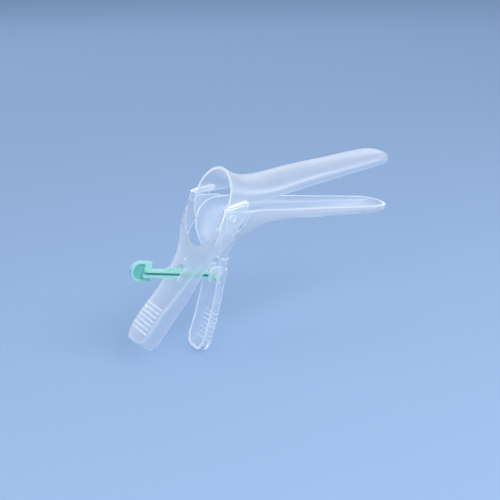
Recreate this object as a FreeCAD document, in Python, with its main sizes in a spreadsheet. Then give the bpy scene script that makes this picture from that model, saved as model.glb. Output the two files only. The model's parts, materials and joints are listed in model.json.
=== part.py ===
import FreeCAD, Part
import math
import os
import Sketcher

# Bivalve speculum: two clear blades on a common hinge, each moulded with its handle, and a toothed lock strap.
# The origin lies on the hinge axis, midway between the ears. +X points along the closed blades, +Z is up.

doc = FreeCAD.newDocument("bivalve_speculum")
Vec = FreeCAD.Vector
UP = Vec(0, 0, 1)

# Driving dimensions in millimetres and degrees
DIMS = [
    ("opening_angle", 14.0),
    ("wall", 1.7),
    ("rim_height", 3.3),
    ("rim_gap", 0.2),
    ("blade_root", 24.0),
    ("root_half", 17.5),
    ("root_depth", 10.0),
    ("root_corner", 7.0),
    ("end_half", 12.6),
    ("end_depth", 5.6),
    ("end_corner", 4.0),
    ("lower_root", 33.0),
    ("upper_straight", 103.0),
    ("lower_straight", 101.0),
    ("tip_length", 11.5),
    ("mouth_half", 20.0),
    ("mouth_depth", 20.0),
    ("mouth_tilt", 28.6),
    ("mouth_corner", 13.0),
    ("mouth_x", -1.4),
    ("mouth_z", 4.8),
    ("ear_half", 23.0),
    ("ear_gap", 0.5),
    ("ledge_height", 1.9),
    ("ledge_length", 12.0),
    ("stud_radius", 1.9),
    ("stud_clearance", 0.06),
    ("stud_proud", 0.2),
    ("dimple_radius", 0.9),
    ("dimple_depth", 0.8),
    ("front_grip_x", -47.8),
    ("front_grip_z", -49.4),
    ("front_grip_lean", 45.0),
    ("front_grip_half", 11.7),
    ("front_wall_depth", 9.8),
    ("front_corner", 3.0),
    ("front_end_radius", 8.0),
    ("rear_grip_x", 5.75),
    ("rear_grip_z", -62.0),
    ("rear_grip_lean", 8.5),
    ("rear_grip_half", 9.5),
    ("rear_wall_depth", 6.0),
    ("rear_corner", 2.4),
    ("rear_end_radius", 7.0),
    ("oval_half", 20.2),
    ("oval_drop", 23.3),
    ("oval_tilt", 29.0),
    ("pivot_x", 3.0),
    ("pivot_z", -39.3),
    ("pin_radius", 1.5),
    ("pin_clearance", 0.06),
    ("strap_width", 5.4),
    ("strap_height", 4.0),
    ("strap_length", 38.6),
    ("strap_rise", 3.6),
    ("groove_height", 1.3),
    ("groove_depth", 1.6),
    ("groove_rise", 0.35),
    ("tooth_pitch", 2.3),
    ("tooth_height", 1.5),
    ("tooth_width", 3.0),
    ("tooth_reach", 30.4),
    ("paddle_radius", 5.7),
    ("paddle_straight", 6.4),
    ("paddle_rim", 1.3),
    ("paddle_thickness", 2.7),
    ("paddle_recess", 0.9),
    ("paddle_overlap", 4.2),
    ("paddle_proud", 0.1),
    ("cheek_thickness", 1.3),
    ("cheek_gap", 0.35),
    ("slot_width", 7.4),
    ("slot_length", 9.4),
    ("slot_depth", 14.0),
    ("slot_x", -26.6),
    ("slot_z", -30.0),
    ("slot_lean", 42.0),
    ("slot_drop", 1.0),
    ("ridge_pitch", 2.65),
    ("ridge_width", 0.7),
    ("ridge_height", 0.4),
    ("pip_radius", 1.0),
    ("pip_height", 0.4),
    ("pip_x", -21.9),
    ("pip_z", -24.9),
    ("pip_lean", 40.5),
    ("web_crown", 0.5),
]
RIDGES = 7
TEETH = 9

sheet = doc.addObject("Spreadsheet::Sheet", "dims")
for row, (alias, value) in enumerate(DIMS, start=1):
    sheet.set("A%d" % row, alias.replace("_", " "))
    sheet.set("B%d" % row, repr(value))
    sheet.setAlias("B%d" % row, alias)
doc.recompute()
DIM_NAMES = [alias for alias, value in DIMS]


def bind(text):
    # Writes every sheet name in a formula with the sheet in front of it.
    out, word = "", ""
    for char in text + " ":
        if char.isalnum() or char == "_":
            word += char
            continue
        out += "dims." + word if word in DIM_NAMES else word
        out += char
        word = ""
    return out.strip()


def number(text):
    # The present value of a formula.
    value = sheet.evalExpression(bind(str(text)))
    return float(getattr(value, "Value", value))


def place(obj, x, z, turn):
    # Puts an object's own plane upright across the part, then turns it about Y.
    obj.setExpression("Placement", (
        "placement(vector(%s; 0; %s); rotation(vector(0; 1; 0); %s) * rotation(vector(1; 1; 1); 120))"
        % (bind(x), bind(z), bind(turn))))


def rule(sketch, kind, *args):
    # Adds one dimension to a sketch and binds it to a formula.
    formula = args[-1]
    index = sketch.addConstraint(Sketcher.Constraint(kind, *args[:-1], number(formula)))
    sketch.setExpression("Constraints[%d]" % index, bind(formula))


def section(name, x, z, turn, half, depth, side, corner, open_by):
    # One closed U: straight sides, two corner arcs and a shallow crown arc.
    b, d, e, r, o = [number(text) for text in (half, depth, side, corner, open_by)]
    crown = "((({b}) - ({r}))^2 + (({d}) - ({e}))^2 - ({r})^2) / (2 * (({d}) - ({e}) - ({r})))".format(
        b=half, d=depth, e=side, r=corner)
    big = number(crown)
    turn_in = math.atan2(e - (d - big), b - r)
    sketch = doc.addObject("Sketcher::SketchObject", name)
    sketch.addGeometry([
        Part.LineSegment(Vec(b, -o, 0), Vec(b, e, 0)),
        Part.ArcOfCircle(Part.Circle(Vec(b - r, e, 0), UP, r), 0, turn_in),
        Part.ArcOfCircle(Part.Circle(Vec(0, d - big, 0), UP, big), turn_in, math.pi - turn_in),
        Part.ArcOfCircle(Part.Circle(Vec(r - b, e, 0), UP, r), math.pi - turn_in, math.pi),
        Part.LineSegment(Vec(-b, e, 0), Vec(-b, -o, 0)),
        Part.LineSegment(Vec(-b, -o, 0), Vec(b, -o, 0)),
    ], False)
    sketch.addConstraint([
        Sketcher.Constraint("Tangent", 0, 2, 1, 1),
        Sketcher.Constraint("Tangent", 1, 2, 2, 1),
        Sketcher.Constraint("Tangent", 2, 2, 3, 1),
        Sketcher.Constraint("Tangent", 3, 2, 4, 1),
        Sketcher.Constraint("Coincident", 4, 2, 5, 1),
        Sketcher.Constraint("Coincident", 5, 2, 0, 1),
        Sketcher.Constraint("Vertical", 0),
        Sketcher.Constraint("Vertical", 4),
        Sketcher.Constraint("PointOnObject", 2, 3, -2),
        Sketcher.Constraint("Symmetric", 0, 1, 4, 2, -2),
        Sketcher.Constraint("Equal", 1, 3),
    ])
    rule(sketch, "DistanceX", -1, 1, 0, 1, half)
    rule(sketch, "DistanceY", -1, 1, 0, 2, side)
    rule(sketch, "DistanceY", 0, 1, -1, 1, open_by)
    rule(sketch, "Radius", 1, corner)
    rule(sketch, "Radius", 2, crown)
    place(sketch, x, z, turn)
    return sketch


def loft(name, stations):
    solid = doc.addObject("Part::Loft", name)
    solid.Sections = [section("%s_%d" % (name, i), *row) for i, row in enumerate(stations)]
    solid.Solid = True
    solid.Ruled = False
    doc.recompute()
    return solid


def polygon(sketch, points):
    corners = [Vec(number(px), number(pz), 0) for px, pz in points]
    count = len(corners)
    sketch.addGeometry([Part.LineSegment(corners[i], corners[(i + 1) % count]) for i in range(count)], False)
    sketch.addConstraint([Sketcher.Constraint("Coincident", i, 2, (i + 1) % count, 1) for i in range(count)])
    for i, (px, pz) in enumerate(points):
        rule(sketch, "DistanceX", -1, 1, i, 1, px)
        rule(sketch, "DistanceY", -1, 1, i, 1, pz)


def outline(name, points):
    # A closed outline of straight lines through bound points, in the XZ plane seen from the -Y side.
    sketch = doc.addObject("Sketcher::SketchObject", name)
    polygon(sketch, points)
    sketch.Placement = FreeCAD.Placement(Vec(0, 0, 0), FreeCAD.Rotation(Vec(1, 0, 0), 90))
    return sketch


def extrude(name, sketch, start, length):
    # Extrudes an outline across the part, starting at y = start toward +Y.
    solid = doc.addObject("Part::Extrusion", name)
    solid.Base = sketch
    solid.DirMode = "Custom"
    solid.Dir = Vec(0, 1, 0)
    solid.Solid = True
    solid.setExpression("LengthFwd", bind("(%s) + (%s)" % (start, length)))
    solid.setExpression("LengthRev", bind("0 - (%s)" % start))
    return solid


def cut(name, base, tool):
    result = doc.addObject("Part::Cut", name)
    result.Base = base
    result.Tool = tool
    return result


def common(name, base, tool):
    result = doc.addObject("Part::Common", name)
    result.Base = base
    result.Tool = tool
    return result


def fuse(name, shapes):
    result = doc.addObject("Part::MultiFuse", name)
    result.Shapes = shapes
    return result


def cross_pin(name, x, z, radius, start, length):
    # A cylinder across the part, starting at y = start toward +Y.
    pin = doc.addObject("Part::Cylinder", name)
    pin.setExpression("Radius", bind(radius))
    pin.setExpression("Height", bind(length))
    pin.setExpression("Placement", "placement(vector(%s; %s; %s); rotation(vector(1; 0; 0); 0 - 90))"
                      % (bind(x), bind(start), bind(z)))
    return pin


def between(first, last, share):
    return "(%s) + ((%s) - (%s)) * %s" % (first, last, first, share)


# Blade stations from the mouth flare to the rounded tip; inset is how far inside the outer skin they lie
def blade_stations(straight, inset, open_by):
    rows = []
    for along, tilt, wide, high in ((1.0, 1.0, 1.0, 1.0), (0.76, 0.63, 0.62, 0.72), (0.44, 0.28, 0.28, 0.33)):
        rows.append((
            between("blade_root", "mouth_x", along),
            between("rim_height", "mouth_z", along),
            "mouth_tilt * %s" % tilt,
            between("root_half", "mouth_half", wide) + " - " + inset,
            between("root_depth", "mouth_depth", high) + " - " + inset,
            between("0.8", "3", high),
            between("root_corner", "mouth_corner", high) + " - " + inset,
            open_by))
    return rows + plain_stations(straight, inset, open_by, "0", "blade_root", 4)


def plain_stations(straight, inset, open_by, turn, root, steps):
    rows = []
    for step in range(steps):
        share = round(step / (steps - 1), 4)
        rows.append((
            between(root, straight, share),
            "rim_height",
            turn,
            between("root_half", "end_half", share) + " - " + inset,
            between("root_depth", "end_depth", share) + " - " + inset,
            "0.8",
            between("root_corner", "end_corner", share) + " - " + inset,
            open_by))
    for angle in (25, 48, 66, 80):
        shrink = round(math.cos(math.radians(angle)), 4)
        along = round(math.sin(math.radians(angle)), 4)
        fall = round(shrink ** 0.8, 4)
        rows.append((
            "%s + (tip_length - %s) * %s" % (straight, inset, along),
            "rim_height",
            turn,
            "(end_half - %s) * %s" % (inset, shrink),
            "(end_depth - %s) * %s" % (inset, fall),
            "0.8 * %s" % shrink,
            "(end_corner - %s) * %s" % (inset, shrink),
            open_by))
    return rows


# Upper blade and flared mouth
upper_skin = loft("upper_skin", blade_stations("upper_straight", "0", "1"))
upper_hollow = loft("upper_hollow", blade_stations("upper_straight", "wall", "3"))
upper_walls = cut("upper_walls", upper_skin, upper_hollow)
below_rim = extrude("below_rim", outline("below_rim_line", [
    ("mouth_x - 8", "mouth_z - 0.3"),
    ("mouth_x + 4", "mouth_z - 0.3"),
    ("blade_root", "rim_height"),
    ("upper_straight + 2 * tip_length", "rim_height"),
    ("upper_straight + 2 * tip_length", "0 - mouth_depth"),
    ("mouth_x - 8", "0 - mouth_depth"),
]), "0 - 2 * mouth_half", "4 * mouth_half")
upper_shell = cut("upper_shell", upper_walls, below_rim)

# Front handle: stations run down the outer face of the web, leaning back from the ears
FRONT = [
    # x, z, lean, half width, wall depth, corner, straight side
    ("-1.6", "10.5", "29", "ear_half", "13.5", "2.2", ""),
    ("-5.4", "3.65", "29", "ear_half", "12.5", "2.2", ""),
    ("-9.2", "-3.2", "29", "ear_half", "11.2", "2.2", ""),
    ("-13.2", "-10.7", "29", "ear_half", "8.5", "2.4", ""),
    ("-17.8", "-19.5", "34", "ear_half - 4.8", "5.6", "2.8", ""),
    ("slot_x", "slot_z", "slot_lean", "front_grip_half + 2.2", "6.8", "front_corner", ""),
    ("-37.0", "-40.2", "46", "front_grip_half + 0.4", "front_wall_depth - 1", "front_corner", ""),
    ("front_grip_x", "front_grip_z", "front_grip_lean", "front_grip_half", "front_wall_depth", "front_corner", ""),
    ("front_grip_x - 7.4", "front_grip_z - 7.4", "44", "front_grip_half", "front_wall_depth", "front_corner", ""),
]


def handle_row(x, z, lean, half, depth, corner, side, inset, open_by, facing, narrow="1"):
    # facing is -1 for a web on the operator side and 1 for a web on the patient side
    bend = "(%s - %s) * %s" % (corner, inset, narrow)
    return (
        "%s - (%d) * (%s) * cos(%s)" % (x, facing, depth, lean),
        "%s + (%d) * (%s) * sin(%s)" % (z, facing, depth, lean),
        "%s + (%d) * 90" % (lean, facing),
        "%s - %s" % (half, inset),
        "%s - %s" % (depth, inset),
        side or "(%s) - %s - %s - web_crown" % (depth, inset, bend),
        bend,
        open_by)


def handle_stations(rows, inset, open_by, facing, end_radius):
    # The rounded lower end first, then the listed stations from the bottom up
    x, z, lean, half, depth, corner, side = rows[-1]
    out = []
    for angle in (80, 66, 48, 25):
        shrink = round(math.cos(math.radians(angle)), 4)
        along = round(math.sin(math.radians(angle)), 4)
        reach = "(%s - %s) * %s" % (end_radius, inset, along)
        out.append(handle_row(
            "%s - %s * sin(%s)" % (x, reach, lean),
            "%s - %s * cos(%s)" % (z, reach, lean),
            lean,
            "%s - (%s - %s) * %s" % (half, end_radius, inset, round(1 - shrink, 4)),
            depth, corner, side, inset, open_by, facing, str(round(0.3 + 0.7 * shrink, 4))))
    for row in rows[::-1]:
        out.append(handle_row(*row, inset, open_by, facing))
    return out


front_skin = loft("front_skin", handle_stations(FRONT, "0", "0", -1, "front_end_radius"))
front_hollow = loft("front_hollow", handle_stations(FRONT, "wall", "6", -1, "front_end_radius"))
doc.recompute()
front_shell = cut("front_shell", front_skin, front_hollow)


# Side walls end on straight rims; the web is opened by the mouth oval between the arms
front_top = extrude("front_top", outline("front_top_line", [
    ("-6 - ledge_length", "mouth_z + ledge_height - 1.5"),
    ("ledge_length + 30", "mouth_z + ledge_height"),
    ("ledge_length + 30", "mouth_z + 40"),
    ("-6 - ledge_length", "mouth_z + 40"),
]), "0 - ear_half - 5", "2 * ear_half + 10")
front_trimmed = cut("front_trimmed", front_shell, front_top)

oval = doc.addObject("Sketcher::SketchObject", "mouth_oval")
r = number("oval_half")
oval.addGeometry([
    Part.LineSegment(Vec(-r, 30, 0), Vec(-r, -2, 0)),
    Part.ArcOfCircle(Part.Circle(Vec(0, -2, 0), UP, r), math.pi, 2 * math.pi),
    Part.LineSegment(Vec(r, -2, 0), Vec(r, 30, 0)),
    Part.LineSegment(Vec(r, 30, 0), Vec(-r, 30, 0)),
], False)
oval.addConstraint([
    Sketcher.Constraint("Tangent", 0, 2, 1, 1),
    Sketcher.Constraint("Tangent", 1, 2, 2, 1),
    Sketcher.Constraint("Coincident", 2, 2, 3, 1),
    Sketcher.Constraint("Coincident", 3, 2, 0, 1),
    Sketcher.Constraint("Horizontal", 3),
    Sketcher.Constraint("Vertical", 0),
    Sketcher.Constraint("PointOnObject", 1, 3, -2),
])
rule(oval, "Radius", 1, "oval_half")
rule(oval, "DistanceY", 1, 3, -1, 1, "oval_drop - oval_half")
rule(oval, "DistanceY", -1, 1, 2, 2, "30")
place(oval, "0", "0", "oval_tilt")
oval_tool = doc.addObject("Part::Extrusion", "oval_tool")
oval_tool.Base = oval
oval_tool.DirMode = "Normal"
oval_tool.Solid = True
oval_tool.LengthFwd = 0
oval_tool.LengthRev = 40
doc.recompute()
front_open = cut("front_open", front_trimmed, oval_tool)

# Ledges join the mouth flare to the ear plates
ledges = []
for side_name, start in (("near", "0 - ear_half"), ("far", "mouth_half - wall")):
    ledges.append(extrude("ledge_" + side_name, outline("ledge_line_" + side_name, [
        ("mouth_x - 0.4", "mouth_z - 0.3"),
        ("mouth_x + ledge_length", "mouth_z + 0.3"),
        ("mouth_x + ledge_length", "mouth_z + ledge_height"),
        ("mouth_x + 0.2", "mouth_z + ledge_height - 0.4"),
    ]), start, "ear_half - mouth_half + wall"))

# The lock strap's slot, and the stud holes
slot = doc.addObject("Part::Box", "slot")
slot.setExpression("Length", bind("slot_depth"))
slot.setExpression("Width", bind("slot_width"))
slot.setExpression("Height", bind("slot_length"))
slot.setExpression("Placement", bind(
    "placement(vector(slot_x; 0; slot_z); rotation(vector(0; 1; 0); slot_lean))"
    " * placement(vector(0 - slot_depth / 2; 0 - slot_width / 2; 0 - slot_length / 2 - slot_drop);"
    " rotation(vector(0; 1; 0); 0))"))
upper_holes = cross_pin("upper_holes", "0", "0", "stud_radius + stud_clearance", "0 - ear_half - 1", "2 * ear_half + 2")


def ridges(name, x, z, lean, first, half, outward, grown_skin):
    # Grip ridges across a web, trimmed to stand evenly proud of it; first is how far up the web the top one lies
    bars = []
    for k in range(RIDGES):
        bar = doc.addObject("Part::Box", "%s_bar_%d" % (name, k + 1))
        bar.setExpression("Length", bind("2 * wall"))
        bar.setExpression("Width", bind("2 * (%s)" % half))
        bar.setExpression("Height", bind("ridge_width"))
        bar.setExpression("Placement", bind(
            "placement(vector(%s; 0; %s); rotation(vector(0; 1; 0); %s))"
            " * placement(vector(%s * wall * 0.4 - wall; 0 - (%s); %s - %d * ridge_pitch); rotation(vector(0; 1; 0); 0))"
            % (x, z, lean, outward, half, first, k)))
        bars.append(bar)
    return common(name + "s", fuse(name + "_bars", bars), grown_skin)


front_grown = loft("front_grown", handle_stations(FRONT, "(0 - ridge_height)", "0", -1, "front_end_radius"))
front_ridges = ridges("front_ridge", "front_grip_x", "front_grip_z", "front_grip_lean", "4.3",
                      "front_grip_half - front_corner + 0.2", "0 - 1", front_grown)
pip = doc.addObject("Part::Cone", "ejector_pip")
pip.setExpression("Radius1", bind("pip_radius"))
pip.setExpression("Radius2", bind("pip_radius * 0.7"))
pip.setExpression("Height", bind("wall / 2 + pip_height"))
pip.setExpression("Placement", bind(
    "placement(vector(pip_x; 0; pip_z); rotation(vector(0; 1; 0); pip_lean))"
    " * placement(vector(wall / 2; 0; 0); rotation(vector(0; 1; 0); 0 - 90))"))
upper = fuse("upper_moulding", [upper_shell, front_open, pip, front_ridges] + ledges)
upper_valve = cut("upper_valve", upper, fuse("upper_cuts", [slot, upper_holes]))
upper_valve.setExpression("Placement", bind(
    "placement(vector(0; 0; 0); rotation(vector(0; 1; 0); 0 - opening_angle / 2))"))

# Lower blade, funnel and rear handle in one sweep of U sections; its ears run inside those of the upper valve
INNER_EAR = "(ear_half - wall - ear_gap)"
REAR = [
    # x, z, lean, half width, wall depth, corner, straight side
    ("20.5", "-12.3", "80", "root_half + 1.0", "root_depth + 5.6", "11", "1.2"),
    ("13.6", "-17.0", "57", INNER_EAR + " - 0.6", "19", "13", "1.4"),
    ("10.6", "-22.6", "32", INNER_EAR + " - 4.4", "15.5", "9.5", "1.6"),
    ("8.7", "-29.5", "6", "rear_grip_half + 1.2", "rear_wall_depth + 1.2", "rear_corner + 1.6", ""),
    ("8.0", "-42", "4", "rear_grip_half", "rear_wall_depth", "rear_corner", ""),
    ("6.7", "-56", "6.5", "rear_grip_half", "rear_wall_depth", "rear_corner", ""),
    ("4.4", "-70", "10", "rear_grip_half", "rear_wall_depth", "rear_corner", ""),
    ("3.1", "-76.5", "11", "rear_grip_half", "rear_wall_depth", "rear_corner", ""),
]


def lower_stations(inset, handle_open, blade_open):
    rows = handle_stations(REAR, inset, handle_open, 1, "rear_end_radius")
    return rows + plain_stations("lower_straight", inset, blade_open, "180", "lower_root", 4)


lower_skin = loft("lower_skin", lower_stations("0", "0", "1"))
lower_hollow = loft("lower_hollow", lower_stations("wall", "4", "4"))
lower_walls = cut("lower_walls", lower_skin, lower_hollow)
above_rim = extrude("above_rim", outline("above_rim_line", [
    ("mouth_x - 8", "rim_height - rim_gap"),
    ("lower_straight + 2 * tip_length", "rim_height - rim_gap"),
    ("lower_straight + 2 * tip_length", "mouth_depth"),
    ("mouth_x - 8", "mouth_depth"),
]), "0 - 2 * mouth_half", "4 * mouth_half")
lower_shell = cut("lower_shell", lower_walls, above_rim)
doc.recompute()
lower_extra = []
for side_name, start in (("near", "0 - " + INNER_EAR), ("far", INNER_EAR + " - wall")):
    lower_extra.append(extrude("ear_" + side_name, outline("ear_line_" + side_name, [
        ("-2.4", "rim_height - rim_gap"),
        ("13", "rim_height - rim_gap"),
        ("8", "-6"),
        ("2", "-11"),
        ("-1.4", "-10"),
        ("-2.4", "-4"),
    ]), start, "wall"))
    stud_start = "0 - ear_half - stud_proud" if side_name == "near" else start
    lower_extra.append(cross_pin("stud_" + side_name, "0", "0", "stud_radius", stud_start,
                                 "ear_half + stud_proud - " + INNER_EAR + " + wall"))
for side_name, start in (("near", "0 - strap_width / 2 - cheek_gap - cheek_thickness"),
                         ("far", "strap_width / 2 + cheek_gap")):
    lower_extra.append(extrude("cheek_" + side_name, outline("cheek_line_" + side_name, [
        ("pivot_x - 3.6", "pivot_z - 2.6"),
        ("pivot_x + 4.3", "pivot_z - 4.2"),
        ("pivot_x + 4.6", "pivot_z + 6.4"),
        ("pivot_x - 2.2", "pivot_z + 5.4"),
        ("pivot_x - 3.6", "pivot_z + 3.0"),
    ]), start, "cheek_thickness"))
lower_extra.append(extrude("cross_rib", outline("cross_rib_line", [
    ("2.2", "-27.6"),
    ("7.6", "-28.0"),
    ("7.6", "-26.6"),
    ("2.2", "-26.2"),
]), "0 - rear_grip_half", "2 * rear_grip_half"))
rear_grown = loft("rear_grown", handle_stations(REAR, "(0 - ridge_height)", "0", 1, "rear_end_radius"))
rear_ridges = ridges("rear_ridge", "rear_grip_x", "rear_grip_z", "rear_grip_lean", "0",
                     "rear_grip_half - rear_corner", "1", rear_grown)
lower = fuse("lower_moulding", [lower_shell, rear_ridges] + lower_extra)
lower_cuts = [cross_pin("pin_holes", "pivot_x", "pivot_z", "pin_radius + pin_clearance",
                        "0 - strap_width", "2 * strap_width")]
for side_name, start in (("near", "0 - ear_half - stud_proud - 1"), ("far", "ear_half + stud_proud - dimple_depth")):
    lower_cuts.append(cross_pin("dimple_" + side_name, "0", "0", "dimple_radius", start, "1 + dimple_depth"))
lower_valve = cut("lower_valve", lower, fuse("lower_cuts", lower_cuts))
lower_valve.setExpression("Placement", bind(
    "placement(vector(0; 0; 0); rotation(vector(0; 1; 0); opening_angle / 2))"))
doc.recompute()

# Lock strap: a bar with side grooves, a D-shaped paddle, teeth on top and a cross pin at the rear
body = doc.addObject("PartDesign::Body", "ratchet_lock")


def plane(role):
    return [f for f in body.Origin.OriginFeatures if f.Role == role][0]


def lock_sketch(name):
    sketch = body.newObject("Sketcher::SketchObject", name)
    sketch.AttachmentSupport = [(plane("XZ_Plane"), "")]
    sketch.MapMode = "FlatFace"
    return sketch


def stadium(sketch, x1, z, x2, radius):
    # A slot shape along X with one round end, and square at its +X end.
    a, b, c, r = [number(t) for t in (x1, z, x2, radius)]
    first = sketch.GeometryCount
    sketch.addGeometry([
        Part.LineSegment(Vec(c, b + r, 0), Vec(a, b + r, 0)),
        Part.ArcOfCircle(Part.Circle(Vec(a, b, 0), UP, r), math.pi / 2, math.pi * 3 / 2),
        Part.LineSegment(Vec(a, b - r, 0), Vec(c, b - r, 0)),
        Part.LineSegment(Vec(c, b - r, 0), Vec(c, b + r, 0)),
    ], False)
    sketch.addConstraint([
        Sketcher.Constraint("Tangent", first, 2, first + 1, 1),
        Sketcher.Constraint("Tangent", first + 1, 2, first + 2, 1),
        Sketcher.Constraint("Coincident", first + 2, 2, first + 3, 1),
        Sketcher.Constraint("Coincident", first + 3, 2, first, 1),
        Sketcher.Constraint("Horizontal", first),
        Sketcher.Constraint("Vertical", first + 3),
    ])
    rule(sketch, "Radius", first + 1, radius)
    rule(sketch, "DistanceX", -1, 1, first + 1, 3, x1)
    rule(sketch, "DistanceY", -1, 1, first + 1, 3, z)
    rule(sketch, "DistanceX", -1, 1, first + 2, 2, x2)


def pad(name, sketch, length):
    feature = body.newObject("PartDesign::Pad", name)
    feature.Profile = sketch
    feature.SideType = "Symmetric"
    feature.setExpression("Length", bind(length))
    doc.recompute()
    return feature


bar_line = lock_sketch("bar_line")
polygon(bar_line, [
    ("0 - strap_length - paddle_overlap - 1.2", "0 - strap_height / 2"),
    ("0", "0 - strap_height / 2"),
    ("0", "strap_height / 2"),
    ("0 - strap_length - paddle_overlap", "strap_height / 2"),
])
pad("bar", bar_line, "strap_width")

paddle_line = lock_sketch("paddle_line")
stadium(paddle_line, "0 - strap_length - paddle_straight", "0.6", "0 - strap_length", "paddle_radius")
paddle_line.setExpression("AttachmentOffset.Base.z", bind("paddle_thickness / 2 - strap_width / 2 - paddle_proud"))
pad("paddle", paddle_line, "paddle_thickness")

eye_line = lock_sketch("eye_line")
eye_line.addGeometry(Part.Circle(Vec(0, 0, 0), UP, number("strap_height / 2 + 0.1")), False)
eye_line.addConstraint(Sketcher.Constraint("Coincident", 0, 3, -1, 1))
rule(eye_line, "Radius", 0, "strap_height / 2 + 0.1")
pad("eye", eye_line, "strap_width")

pin_line = lock_sketch("pin_line")
pin_line.addGeometry(Part.Circle(Vec(0, 0, 0), UP, number("pin_radius")), False)
pin_line.addConstraint(Sketcher.Constraint("Coincident", 0, 3, -1, 1))
rule(pin_line, "Radius", 0, "pin_radius")
pad("pin", pin_line, "2 * rear_grip_half - 2 * wall - 0.6")


def near_pocket(name, sketch, face, depth):
    # Cut from the side that faces -Y
    sketch.setExpression("AttachmentOffset.Base.z", bind(face))
    feature = body.newObject("PartDesign::Pocket", name)
    feature.Profile = sketch
    feature.setExpression("Length", bind(depth))
    doc.recompute()
    return feature


recess_line = lock_sketch("recess_line")
stadium(recess_line, "0 - strap_length - paddle_straight", "0.6", "0 - strap_length - paddle_overlap",
        "paddle_radius - paddle_rim")
near_pocket("recess", recess_line, "paddle_thickness - strap_width / 2 - paddle_proud", "paddle_recess")

groove_line = lock_sketch("groove_line")
stadium(groove_line, "0 - strap_length - paddle_overlap", "groove_rise", "0 - strap_height", "groove_height / 2")
groove = near_pocket("groove", groove_line, "strap_width / 2", "groove_depth")
far_groove = body.newObject("PartDesign::Mirrored", "far_groove")
far_groove.Originals = [groove]
far_groove.MirrorPlane = (plane("XZ_Plane"), [""])
body.Tip = far_groove
doc.recompute()

tooth_line = lock_sketch("tooth_line")
polygon(tooth_line, [
    ("0 - tooth_reach", "strap_height / 2 - 0.4"),
    ("tooth_pitch - tooth_reach", "strap_height / 2 - 0.4"),
    ("tooth_pitch - tooth_reach", "strap_height / 2 + tooth_height"),
])
tooth = pad("tooth", tooth_line, "tooth_width")
teeth = body.newObject("PartDesign::LinearPattern", "teeth")
teeth.Originals = [tooth]
teeth.Direction = (plane("X_Axis"), [""])
teeth.Occurrences = TEETH
teeth.setExpression("Length", bind("%d * tooth_pitch" % (TEETH - 1)))
body.Tip = teeth
doc.recompute()

body.setExpression("Placement", bind(
    "placement(vector(0; 0; 0); rotation(vector(0; 1; 0); opening_angle / 2))"
    " * placement(vector(pivot_x; 0; pivot_z); rotation(vector(0; 1; 0); strap_rise))"))
doc.recompute()

# Every object has to be sound before anything is written
PIECES = [upper_valve, lower_valve, body]
for obj in doc.Objects:
    if "Invalid" in obj.State or "Error" in obj.State:
        raise RuntimeError("%s failed: %s" % (obj.Name, obj.State))
for obj in PIECES:
    if obj.Shape.isNull() or not obj.Shape.isValid() or len(obj.Shape.Solids) != 1:
        raise RuntimeError("%s is not one sound solid" % obj.Label)

os.makedirs("parts", exist_ok=True)
for obj in PIECES:
    obj.Shape.exportStep("parts/%s.step" % obj.Label)
    print(obj.Label, round(obj.Shape.Volume, 1))
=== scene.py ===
import json
import math

import bpy
from mathutils import Matrix, Vector
from mathutils.bvhtree import BVHTree


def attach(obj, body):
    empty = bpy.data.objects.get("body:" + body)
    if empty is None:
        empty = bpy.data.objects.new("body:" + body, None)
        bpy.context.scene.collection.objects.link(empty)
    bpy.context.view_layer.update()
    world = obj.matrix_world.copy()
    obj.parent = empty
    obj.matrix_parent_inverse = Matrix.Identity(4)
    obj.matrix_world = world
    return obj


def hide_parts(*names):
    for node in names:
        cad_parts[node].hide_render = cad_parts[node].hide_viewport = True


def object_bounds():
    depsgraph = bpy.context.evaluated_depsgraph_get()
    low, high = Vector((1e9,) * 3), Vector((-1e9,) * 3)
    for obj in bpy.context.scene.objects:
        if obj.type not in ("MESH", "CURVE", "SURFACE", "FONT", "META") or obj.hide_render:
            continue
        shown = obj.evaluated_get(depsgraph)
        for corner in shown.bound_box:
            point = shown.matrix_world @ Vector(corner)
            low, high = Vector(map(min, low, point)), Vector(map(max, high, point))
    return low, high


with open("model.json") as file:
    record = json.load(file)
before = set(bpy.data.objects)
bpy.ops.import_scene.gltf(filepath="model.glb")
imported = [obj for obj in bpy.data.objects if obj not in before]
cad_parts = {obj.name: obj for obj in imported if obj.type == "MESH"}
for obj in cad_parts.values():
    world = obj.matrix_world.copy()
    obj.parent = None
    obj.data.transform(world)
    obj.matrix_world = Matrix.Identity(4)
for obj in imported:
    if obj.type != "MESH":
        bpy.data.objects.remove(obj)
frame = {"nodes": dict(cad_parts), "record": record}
cad_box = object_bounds()

MM = 0.001

# The camera stands 750 mm from the hinge, a little above it,
# and looks along the blades from the operator's side
CAMERA_DISTANCE = 750 * MM
CAMERA_AZIMUTH = 26.65
CAMERA_ELEVATION = 16.37
CAMERA_ROLL = -0.31
PICTURE = 500
SENSOR = 36.0
PIXELS_PER_MM = 1.78
HINGE_PIXEL = (214.66, 208.2)

# Places and sizes on the part at rest are in millimetres and degrees, with the hinge at the origin

# Edges turn smoothly below the first angle, and join faces to one strip below the second;
# a strip is a cut edge where at least this share of it has this much plastic behind it
SMOOTH_BELOW = 28
SAME_STRIP_BELOW = 20
DEEP_SHARE = 0.35
DEEP = 2.2

# A face looks sideways, upwards or outwards where its normal's share in that direction is past this
SIDEWAYS = 0.9
UPWARDS = 0.85
OUTWARDS = -0.2

# Where a finish begins and where it is full: outwards along the hinge, in towards it, and up the funnel
EAR_SIDE = (20.0, 20.8)
EAR_REACH = (24, 19)
BLADE_FOOT = (-28, -25)

# The ridges' number, pitch and width in the source, and each grip's place and lean;
# a ridge's faces lie this near the grip's plane, and the slack is on both sides of a ridge
RIDGES = 7
RIDGE_PITCH = 2.65
RIDGE_WIDTH = 0.7
RIDGE_REACH = 2.5
SLACK = 0.05
FRONT_GRIP = ((-41.42, 0, -54.86), 38)
REAR_GRIP = ((-1.85, 0, -62.24), 15.5)

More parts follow.
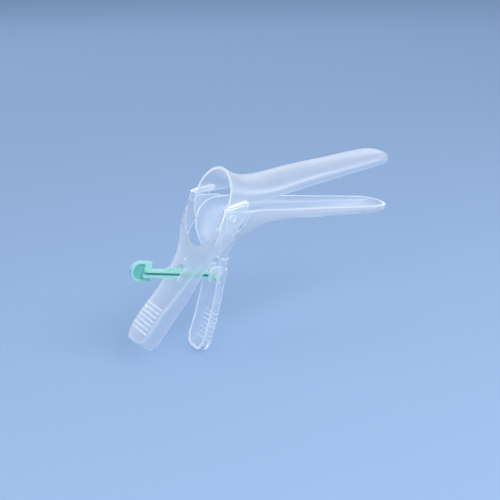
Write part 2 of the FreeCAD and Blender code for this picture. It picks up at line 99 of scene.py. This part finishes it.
# The ejector pip and the studs' dimples, and how far from the middle their faces reach
PIP = (-18.7, 0, -27.4)
PIP_REACH = 1.7
DIMPLES = ((0, -22.8, 0), (0, 22.8, 0))
DIMPLE_REACH = 1.5

# Limits of the ledges and the cheeks
LEDGE_X = (-3, 10.5)
LEDGE_Z = (3.8, 8.6)
LEDGE_INSIDE = 19.9
CHEEK_SIDES = (3, 4.5)
CHEEK_TOP = -33

# The paddle's sunk field and the bar's grooves, painted darker as shade: how far they are from the middle
# plane, and the line along the grooves with how far from it they reach
FIELD_DEPTH = (0.9, 1.05)
GROOVE_DEPTH = (1.05, 2.65)
GROOVE_START = Vector((-43.8, 0, -31.16))
GROOVE_WAY = Vector((37.6, 0, -7.12)).normalized()
GROOVE_REACH = 0.8

FLOOR_SIZE = 12


def linear(code):
    # An sRGB hex colour as linear red, green, blue and full alpha
    parts = [int(code[i:i + 2], 16) / 255 for i in (1, 3, 5)]
    return tuple(c / 12.92 if c <= 0.04045 else ((c + 0.055) / 1.055) ** 2.4 for c in parts) + (1.0,)


def add(tree, kind, settings=None, inputs=None):
    # Adds one node with its settings, its plain values and its links
    new = tree.nodes.new(kind)
    for name, value in (settings or {}).items():
        setattr(new, name, value)
    for name, value in (inputs or {}).items():
        if isinstance(value, bpy.types.NodeSocket):
            tree.links.new(value, new.inputs[name])
        else:
            new.inputs[name].default_value = value
    return new


def material(name):
    # An empty material, its tree, and the place on the object that its patterns follow
    made = bpy.data.materials.new(name)
    made.use_nodes = True
    tree = made.node_tree
    tree.nodes.clear()
    return made, tree, add(tree, "ShaderNodeTexCoord").outputs["Object"]


# Crystal polystyrene, the plastic of both valves

PLASTIC_TINT = linear("#FAFCFF")
SHADOW_TINT = linear("#F4F8FD")
PLASTIC_IOR = 1.5
SHADOW_SHARE = 0.75

# Roughness of each finish; the frosted and the polished one vary a little
FROSTED = (0.3, 0.36)
POLISHED = (0.12, 0.2)
BLASTED = 0.33
EARS = 0.25


def patchy(tree, place, size, low, high):
    # A value that drifts between low and high in soft patches about size millimetres across
    noise = add(tree, "ShaderNodeTexNoise", inputs={"Vector": place, "Scale": 1 / (size * MM), "Detail": 3.0})
    return add(tree, "ShaderNodeMapRange", inputs={
        "Value": noise.outputs["Fac"], "From Min": 0.35, "From Max": 0.65,
        "To Min": low, "To Max": high}).outputs["Result"]


def clearer_inside(tree, clearness):
    # How much light goes through: this share from outside, and all of it from inside the plastic
    inside = add(tree, "ShaderNodeNewGeometry").outputs["Backfacing"]
    return add(tree, "ShaderNodeMapRange", inputs={
        "Value": inside, "To Min": clearness, "To Max": 1.0}).outputs["Result"]


def lit_from_within(tree, shader, haze):
    # Where light meets the skin from inside the plastic, its haze glows with the light on the outside,
    # and most of the light on its way from a lamp goes straight through
    inside = add(tree, "ShaderNodeNewGeometry").outputs["Backfacing"]
    share = add(tree, "ShaderNodeMath", {"operation": "MULTIPLY"}, {0: inside, 1: haze})
    glow = add(tree, "ShaderNodeBsdfTranslucent", inputs={"Color": PLASTIC_TINT})
    plastic = add(tree, "ShaderNodeMixShader", inputs={
        0: share.outputs[0], 1: shader.outputs["BSDF"], 2: glow.outputs[0]})
    to_lamp = add(tree, "ShaderNodeLightPath").outputs["Is Shadow Ray"]
    passed = add(tree, "ShaderNodeMath", {"operation": "MULTIPLY"}, {0: to_lamp, 1: SHADOW_SHARE})
    open_way = add(tree, "ShaderNodeBsdfTransparent", inputs={"Color": SHADOW_TINT})
    skin = add(tree, "ShaderNodeMixShader", inputs={
        0: passed.outputs[0], 1: plastic.outputs[0], 2: open_way.outputs[0]})
    add(tree, "ShaderNodeOutputMaterial", inputs={"Surface": skin.outputs[0]})


def polished_ears(tree, place):
    # 1 on the ear plates round the studs, which come from a polished part of the mould, and 0 away from them
    axes = add(tree, "ShaderNodeSeparateXYZ", inputs={"Vector": place}).outputs
    across = add(tree, "ShaderNodeMath", {"operation": "ABSOLUTE"}, {0: axes["Y"]})
    side = add(tree, "ShaderNodeMapRange", inputs={
        "Value": across.outputs[0], "From Min": EAR_SIDE[0] * MM, "From Max": EAR_SIDE[1] * MM})
    flat = add(tree, "ShaderNodeVectorMath", {"operation": "MULTIPLY"}, {0: place, 1: (1.0, 0.0, 1.0)})
    reach = add(tree, "ShaderNodeVectorMath", {"operation": "LENGTH"}, {0: flat.outputs["Vector"]})
    near = add(tree, "ShaderNodeMapRange", inputs={
        "Value": reach.outputs["Value"], "From Min": EAR_REACH[0] * MM, "From Max": EAR_REACH[1] * MM})
    both = add(tree, "ShaderNodeMath", {"operation": "MULTIPLY"}, {0: side.outputs[0], 1: near.outputs[0]})
    return both.outputs[0]


def satin_polystyrene():
    # Crystal polystyrene from a fine-blasted mould: what lies behind it shows soft and milky
    made, tree, place = material("satin_polystyrene")
    rough = add(tree, "ShaderNodeMapRange", inputs={
        "Value": polished_ears(tree, place), "To Min": patchy(tree, place, 9, *FROSTED), "To Max": EARS})
    grain = add(tree, "ShaderNodeTexNoise", inputs={"Vector": place, "Scale": 1 / (6 * MM), "Detail": 1.0})
    bump = add(tree, "ShaderNodeBump", inputs={
        "Height": grain.outputs["Fac"], "Strength": 0.1, "Distance": 0.1 * MM})
    shader = add(tree, "ShaderNodeBsdfPrincipled", inputs={
        "Base Color": PLASTIC_TINT, "Roughness": rough.outputs["Result"], "IOR": PLASTIC_IOR,
        "Transmission Weight": clearer_inside(tree, 0.9),
        "Sheen Weight": 0.5, "Sheen Roughness": 0.25, "Normal": bump.outputs["Normal"]})
    lit_from_within(tree, shader, 0.1)
    return made


def clear_polystyrene():
    # Crystal polystyrene from a mould that is polished at the handle, for sharp highlights,
    # and finely blasted at the blade, for soft ones
    made, tree, place = material("clear_polystyrene")
    height = add(tree, "ShaderNodeSeparateXYZ", inputs={"Vector": place}).outputs["Z"]
    blade = add(tree, "ShaderNodeMapRange", inputs={
        "Value": height, "From Min": BLADE_FOOT[0] * MM, "From Max": BLADE_FOOT[1] * MM})
    blasted = add(tree, "ShaderNodeMath", {"operation": "SUBTRACT", "use_clamp": True}, {
        0: blade.outputs[0], 1: polished_ears(tree, place)})
    rough = add(tree, "ShaderNodeMapRange", inputs={
        "Value": blasted.outputs[0], "To Min": patchy(tree, place, 12, *POLISHED), "To Max": BLASTED})
    shader = add(tree, "ShaderNodeBsdfPrincipled", inputs={
        "Base Color": PLASTIC_TINT, "Roughness": rough.outputs["Result"], "IOR": PLASTIC_IOR,
        "Transmission Weight": clearer_inside(tree, 0.88),
        "Sheen Weight": 0.3, "Sheen Roughness": 0.3})
    lit_from_within(tree, shader, 0.06)
    return made


def whitened_polystyrene(name, clearness, haze):
    # The same plastic letting less light through, so that the faces given it look whiter
    made, tree, place = material(name)
    shader = add(tree, "ShaderNodeBsdfPrincipled", inputs={
        "Base Color": PLASTIC_TINT, "Roughness": patchy(tree, place, 6, *FROSTED), "IOR": PLASTIC_IOR,
        "Transmission Weight": clearness})
    lit_from_within(tree, shader, haze)
    return made


# The lock strap's plastic, and the floor

def mint_polypropylene(name, deep, light):
    # Coloured polypropylene: a waxy gloss with a little light carried inside
    made, tree, place = material(name)
    cloud = add(tree, "ShaderNodeTexNoise", inputs={"Vector": place, "Scale": 1 / (5 * MM), "Detail": 2.0})
    tone = add(tree, "ShaderNodeMix", {"data_type": "RGBA"}, {
        "Factor": cloud.outputs["Fac"], "A": linear(deep), "B": linear(light)})
    shader = add(tree, "ShaderNodeBsdfPrincipled", inputs={
        "Base Color": tone.outputs["Result"], "Roughness": 0.3, "IOR": 1.49,
        "Subsurface Weight": 0.3, "Subsurface Radius": (0.6, 1.0, 0.9), "Subsurface Scale": 1.5 * MM})
    add(tree, "ShaderNodeOutputMaterial", inputs={"Surface": shader.outputs["BSDF"]})
    return made


def floor_paper():
    # Smooth paper of a photographer's sweep: an even, matt ground that takes soft shadows
    made, tree, place = material("floor_paper")
    fibre = add(tree, "ShaderNodeTexNoise", inputs={"Vector": place, "Scale": 1 / (3 * MM), "Detail": 4.0})
    tone = add(tree, "ShaderNodeMix", {"data_type": "RGBA"}, {
        "Factor": fibre.outputs["Fac"], "A": linear("#8FA9CB"), "B": linear("#93ADCE")})
    shader = add(tree, "ShaderNodeBsdfPrincipled", inputs={
        "Base Color": tone.outputs["Result"], "Roughness": 0.85, "Specular IOR Level": 0.2})
    add(tree, "ShaderNodeOutputMaterial", inputs={"Surface": shader.outputs["BSDF"]})
    return made


# Faces that get a material of their own, most of them for painted highlight or painted shade

def smooth_strips(mesh):
    # Each smooth strip of the mesh, up to the sharp edges round it, as its first face and all its faces
    beside = {}
    for face in mesh.polygons:
        for edge in face.edge_keys:
            beside.setdefault(edge, []).append(face)
    neighbours = [[] for face in mesh.polygons]
    for faces in beside.values():
        if len(faces) != 2:
            continue
        one, other = faces
        if one.normal.angle(other.normal, 0) < math.radians(SAME_STRIP_BELOW):
            neighbours[one.index].append(other.index)
            neighbours[other.index].append(one.index)
    seen = set()
    for start in mesh.polygons:
        if start.index in seen:
            continue
        strip, ahead = [], [start.index]
        seen.add(start.index)
        while ahead:
            strip.append(ahead.pop())
            fresh = [i for i in neighbours[strip[-1]] if i not in seen]
            seen.update(fresh)
            ahead += fresh
        yield start, strip


def edge_faces(piece):
    # Strips with a long way of plastic behind them: the walls' cut edges, the ledges' ends and the ears' rims
    mesh = piece.data
    solid = BVHTree.FromPolygons([v.co for v in mesh.vertices], [p.vertices for p in mesh.polygons])
    found = []
    for start, strip in smooth_strips(mesh):
        deep = whole = 0
        for index in strip:
            face = mesh.polygons[index]
            hit = solid.ray_cast(face.center - face.normal * 0.01 * MM, -face.normal)
            whole += face.area
            if hit[0] is None or hit[3] > DEEP * MM:
                deep += face.area
        if deep > DEEP_SHARE * whole and abs(start.normal.y) < SIDEWAYS:
            found += strip
    return found


def ledge_faces(piece):
    # Upward faces of the two ledges beside the mouth
    return [
        face.index for face in piece.data.polygons
        if LEDGE_X[0] * MM < face.center.x < LEDGE_X[1] * MM
        and LEDGE_Z[0] * MM < face.center.z < LEDGE_Z[1] * MM
        and abs(face.center.y) > LEDGE_INSIDE * MM and face.normal.z > UPWARDS]


def round_faces(piece, centre, reach, most_sideways=1.0):
    # Faces of a small round feature, without those that look across the part more squarely than most_sideways
    points = piece.data.vertices
    return [
        face.index for face in piece.data.polygons
        if abs(face.normal.y) < most_sideways
        and all((points[i].co - Vector(centre) * MM).length < reach * MM for i in face.vertices)]


def ridge_faces(piece, grip, first, half, outward):
    # Faces of a handle's ridges: first is how far up the grip the top one lies, half is half a ridge's length
    # and outward says which way the ridges stand out
    place, lean = grip
    upright = Matrix.Rotation(math.radians(lean), 3, "Y").inverted()
    found = []
    for face in piece.data.polygons:
        at = upright @ (face.center - Vector(place) * MM) / MM
        ridge, above = divmod(at.z - first + SLACK, RIDGE_PITCH)
        on_bar = -RIDGES < ridge <= 0 and above < RIDGE_WIDTH + 2 * SLACK
        near = abs(at.y) < half and abs(at.x) < RIDGE_REACH
        if near and on_bar and (upright @ face.normal).x * outward > OUTWARDS:
            found.append(face.index)
    return found


def cheek_faces(piece):
    # Both sides of the two cheeks that hold the lock strap's pin
    return [
        face.index for face in piece.data.polygons
        if CHEEK_SIDES[0] * MM < abs(face.center.y) < CHEEK_SIDES[1] * MM
        and abs(face.normal.y) > SIDEWAYS and face.center.z < CHEEK_TOP * MM]


def painted_shade_faces(piece):
    # The sunk field of the paddle and the grooves along the bar, which get a darker mint as painted shade
    found = []
    for face in piece.data.polygons:
        at = face.center / MM
        off = at - GROOVE_START
        from_line = abs(off.z * GROOVE_WAY.x - off.x * GROOVE_WAY.z)
        field = FIELD_DEPTH[0] < at.y < FIELD_DEPTH[1] and face.normal.y < -SIDEWAYS
        groove = GROOVE_DEPTH[0] < abs(at.y) < GROOVE_DEPTH[1] and from_line < GROOVE_REACH
        if field or groove:
            found.append(face.index)
    return found


# The three mouldings

BODY = {node: body for body, nodes in frame["record"]["behaviour"]["bodies"].items() for node in nodes}


def cleaned_copy(node, finish):
    # A copy of a moulding with its triangles joined, so that light runs smoothly over its curves
    piece = bpy.data.objects.new(node + "_moulding", frame["nodes"][node].data.copy())
    bpy.context.scene.collection.objects.link(piece)
    bpy.ops.object.select_all(action="DESELECT")
    piece.select_set(True)
    bpy.context.view_layer.objects.active = piece
    bpy.ops.object.mode_set(mode="EDIT")
    bpy.ops.mesh.select_all(action="SELECT")
    bpy.ops.mesh.remove_doubles(threshold=0.005 * MM)
    bpy.ops.object.mode_set(mode="OBJECT")
    bpy.ops.mesh.customdata_custom_splitnormals_clear()
    bpy.ops.object.shade_smooth_by_angle(angle=math.radians(SMOOTH_BELOW))
    piece.data.materials.clear()
    piece.data.materials.append(finish)
    return piece


def set_face_material(piece, faces, finish):
    # Gives these faces of a piece a material of their own
    piece.data.materials.append(finish)
    for index in faces:
        piece.data.polygons[index].material_index = len(piece.data.materials) - 1


def stand_in(piece, node):
    # The piece moves with its node's body and takes the node's place
    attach(piece, BODY[node])
    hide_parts(node)


# Rims, ledges, ridges and small round features are the whitest, and the lock's cheeks only hazy
# The white is painted highlight on ledges, ridges, pip and dimples, and on the rims painted glow over real
# haze
haze_and_highlight = whitened_polystyrene("haze_and_highlight_polystyrene", 0.3, 0.8)
hazy = whitened_polystyrene("hazy_polystyrene", 0.8, 0.3)

upper = cleaned_copy("upper_valve", satin_polystyrene())
upper_whiter = edge_faces(upper) + ledge_faces(upper) + round_faces(upper, PIP, PIP_REACH)
upper_whiter += ridge_faces(upper, FRONT_GRIP, first=4.3, half=9.2, outward=-1)
set_face_material(upper, upper_whiter, haze_and_highlight)
stand_in(upper, "upper_valve")

lower = cleaned_copy("lower_valve", clear_polystyrene())
lower_whiter = edge_faces(lower) + ridge_faces(lower, REAR_GRIP, first=0, half=7.4, outward=1)
for dimple in DIMPLES:
    lower_whiter += round_faces(lower, dimple, DIMPLE_REACH, most_sideways=0.97)
set_face_material(lower, lower_whiter, haze_and_highlight)
set_face_material(lower, cheek_faces(lower), hazy)
stand_in(lower, "lower_valve")

lock = cleaned_copy("ratchet_lock", mint_polypropylene("mint_polypropylene", "#90CDC5", "#A0D8CF"))
# The sunk field and the grooves get a darker mint: painted shade
set_face_material(lock, painted_shade_faces(lock), mint_polypropylene("mint_painted_shade", "#64B3AB", "#70BDB4"))
stand_in(lock, "ratchet_lock")

# Floor, in metres, at the height of the part's lowest point
lowest = cad_box[0][2]
bpy.ops.object.select_all(action="DESELECT")
bpy.ops.mesh.primitive_plane_add(size=FLOOR_SIZE, location=(0, 0, lowest))
floor = bpy.context.object
floor.name = "floor"
floor.data.materials.append(floor_paper())

# Lamps: where each one stands and how large it is, in metres, and its power in watts
LAMP_TARGET = Vector((0.02, 0, -0.02))
LAMPS = {
    "key_softbox": ((0.28, -0.64, 0.72), (1.2, 0.4), 7),
    "side_softbox": ((-0.75, -0.7, 0.46), (0.4, 0.9), 4.5),
    "top_softbox": ((-0.1, 0.0, 1.1), (1.0, 1.0), 1.5),
    "back_softbox": ((0.55, 1.2, 0.5), (1.2, 0.3), 1.5),
    "rim_softbox": ((-0.3, 1.2, 0.3), (0.5, 0.5), 0.8),
}
for name, (place, size, power) in LAMPS.items():
    light = bpy.data.lights.new(name, "AREA")
    light.shape = "RECTANGLE"
    light.size, light.size_y = size
    light.energy = power
    holder = bpy.data.objects.new(name, light)
    holder.location = place
    holder.rotation_euler = (LAMP_TARGET - Vector(place)).to_track_quat("-Z", "Y").to_euler()
    bpy.context.scene.collection.objects.link(holder)

# World: soft light all round, and a pale blue past the floor for the camera and through the plastic
world = bpy.data.worlds.new("studio")
bpy.context.scene.world = world
world.use_nodes = True
sky = world.node_tree
sky.nodes.clear()
paths = add(sky, "ShaderNodeLightPath").outputs
looked_at = add(sky, "ShaderNodeMath", {"operation": "MAXIMUM"}, {
    0: paths["Is Camera Ray"], 1: paths["Is Transmission Ray"]})
around = add(sky, "ShaderNodeBackground", inputs={"Color": linear("#CFDBEA"), "Strength": 0.8})
pale = add(sky, "ShaderNodeBackground", inputs={"Color": linear("#98B0D1"), "Strength": 1.0})
mixed = add(sky, "ShaderNodeMixShader", inputs={
    0: looked_at.outputs[0], 1: around.outputs[0], 2: pale.outputs[0]})
add(sky, "ShaderNodeOutputWorld", inputs={"Surface": mixed.outputs[0]})

# Camera
azimuth, elevation = math.radians(CAMERA_AZIMUTH), math.radians(CAMERA_ELEVATION)
away = Vector((
    -math.sin(azimuth) * math.cos(elevation),
    -math.cos(azimuth) * math.cos(elevation),
    math.sin(elevation)))
lens = bpy.data.cameras.new("camera")
lens.sensor_width = SENSOR
lens.lens = PIXELS_PER_MM * CAMERA_DISTANCE / MM / PICTURE * SENSOR
lens.shift_x = (PICTURE / 2 - HINGE_PIXEL[0]) / PICTURE
lens.shift_y = (HINGE_PIXEL[1] - PICTURE / 2) / PICTURE
lens.clip_start = 0.01
camera = bpy.data.objects.new("camera", lens)
turn = away.to_track_quat("Z", "Y").to_matrix() @ Matrix.Rotation(math.radians(CAMERA_ROLL), 3, "Z")
camera.matrix_world = Matrix.Translation(away * CAMERA_DISTANCE) @ turn.to_4x4()
bpy.context.scene.collection.objects.link(camera)
bpy.context.scene.camera = camera
bpy.context.scene.view_settings.view_transform = "Standard"

# Light runs a long way inside clear walls before it leaves by an edge
bpy.context.scene.cycles.max_bounces = 32
bpy.context.scene.cycles.glossy_bounces = 24
bpy.context.scene.cycles.transmission_bounces = 32
